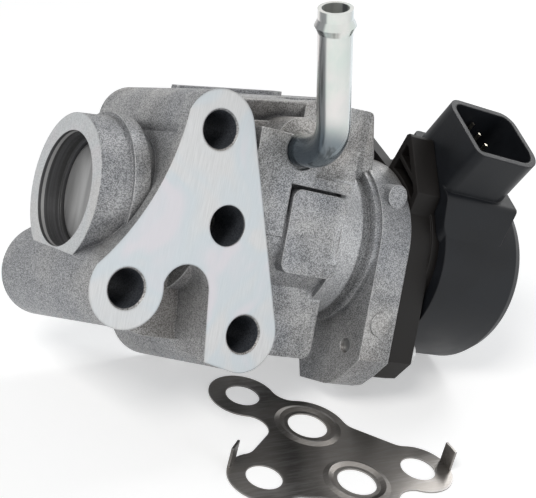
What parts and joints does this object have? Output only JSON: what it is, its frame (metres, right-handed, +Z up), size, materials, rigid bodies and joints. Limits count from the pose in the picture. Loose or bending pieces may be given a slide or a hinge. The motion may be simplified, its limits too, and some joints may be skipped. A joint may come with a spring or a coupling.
{
  "type": "exhaust gas recirculation valve",
  "caption": "Motor-driven exhaust gas recirculation valve: die-cast water-cooled body with bolt flange, bent coolant pipe, black motor and socket, with its steel gasket beside it.",
  "frame": {"origin": "centre of the bounding box at bench level", "axes": "+Z up from the bench, +X towards the motor end, -Y towards the front flange; the valve lies loose, tilted on its motor foot, motor can and rear right boss"},
  "size_m": [0.1396, 0.0976, 0.1075],
  "materials": {
    "cast_aluminium": "shot-blasted die casting with machined faces",
    "aluminium_cup": "pressed, dull",
    "zinc_plated_steel": "zinc plated, smooth",
    "stainless_steel": "turned",
    "gasket_steel": "rolled sheet, dull grey with a sheen",
    "bearing_bronze": "sintered",
    "bright_steel": "bright",
    "yoke_steel": "pressed sheet",
    "black_plastic": "moulded, fine grain",
    "seal_rubber": "smooth",
    "tinned_brass": "tinned",
    "natural_plastic": "moulded",
    "copper_winding": "enamelled wire",
    "ferrite": "bonded ferrite, matt"
  },
  "bodies": {
    "valve_body": {"valve_housing": "cast_aluminium", "bore_plug": "aluminium_cup", "valve_seat": "stainless_steel", "stem_guide": "bearing_bronze", "deposit_shield": "stainless_steel", "jacket_cover": "aluminium_cup", "coolant_pipe": "zinc_plated_steel", "return_spring": "bright_steel", "motor_flange": "black_plastic", "motor_o_ring": "seal_rubber", "motor_cover": "black_plastic", "terminal_pins": "tinned_brass", "motor_screws": "bright_steel", "front_bearing_outer": "bright_steel", "front_bearing_balls": "bright_steel", "rear_bush": "bearing_bronze", "stator_yoke_front": "yoke_steel", "coil_bobbin_front": "natural_plastic", "coil_winding_front": "copper_winding", "stator_yoke_rear": "yoke_steel", "coil_bobbin_rear": "natural_plastic", "coil_winding_rear": "copper_winding"},
    "rotor": {"rotor_sleeve": "natural_plastic", "rotor_nut": "natural_plastic", "rotor_magnet": "ferrite", "front_bearing_inner": "bright_steel"},
    "valve_train": {"valve_head": "stainless_steel", "valve_stem": "stainless_steel", "spring_retainer": "bright_steel", "lead_screw": "bright_steel"},
    "gasket": {"mounting_gasket": "gasket_steel"}
  },
  "joints": [
    {"name": "rotor_spin", "type": "hinge", "parent": "valve_body", "child": "rotor", "pos_m": [0.03778, 0.01914, 0.0323], "axis": [0.981, 0, -0.1941], "range_deg": [0, 905]},
    {"name": "valve_lift", "type": "slide", "parent": "valve_body", "child": "valve_train", "axis": [-0.981, 0, 0.1941], "range_m": [0, 0.005], "deforming": ["return_spring"]},
    {"name": "gasket_slide", "type": "slide", "parent": "valve_body", "child": "gasket", "axis": [0, -1, 0], "range_m": [0, 0.04]}
  ],
  "couplings": [
    {"joint": "rotor_spin", "follows": "valve_lift", "rad_per_m": 3141.6}
  ]
}
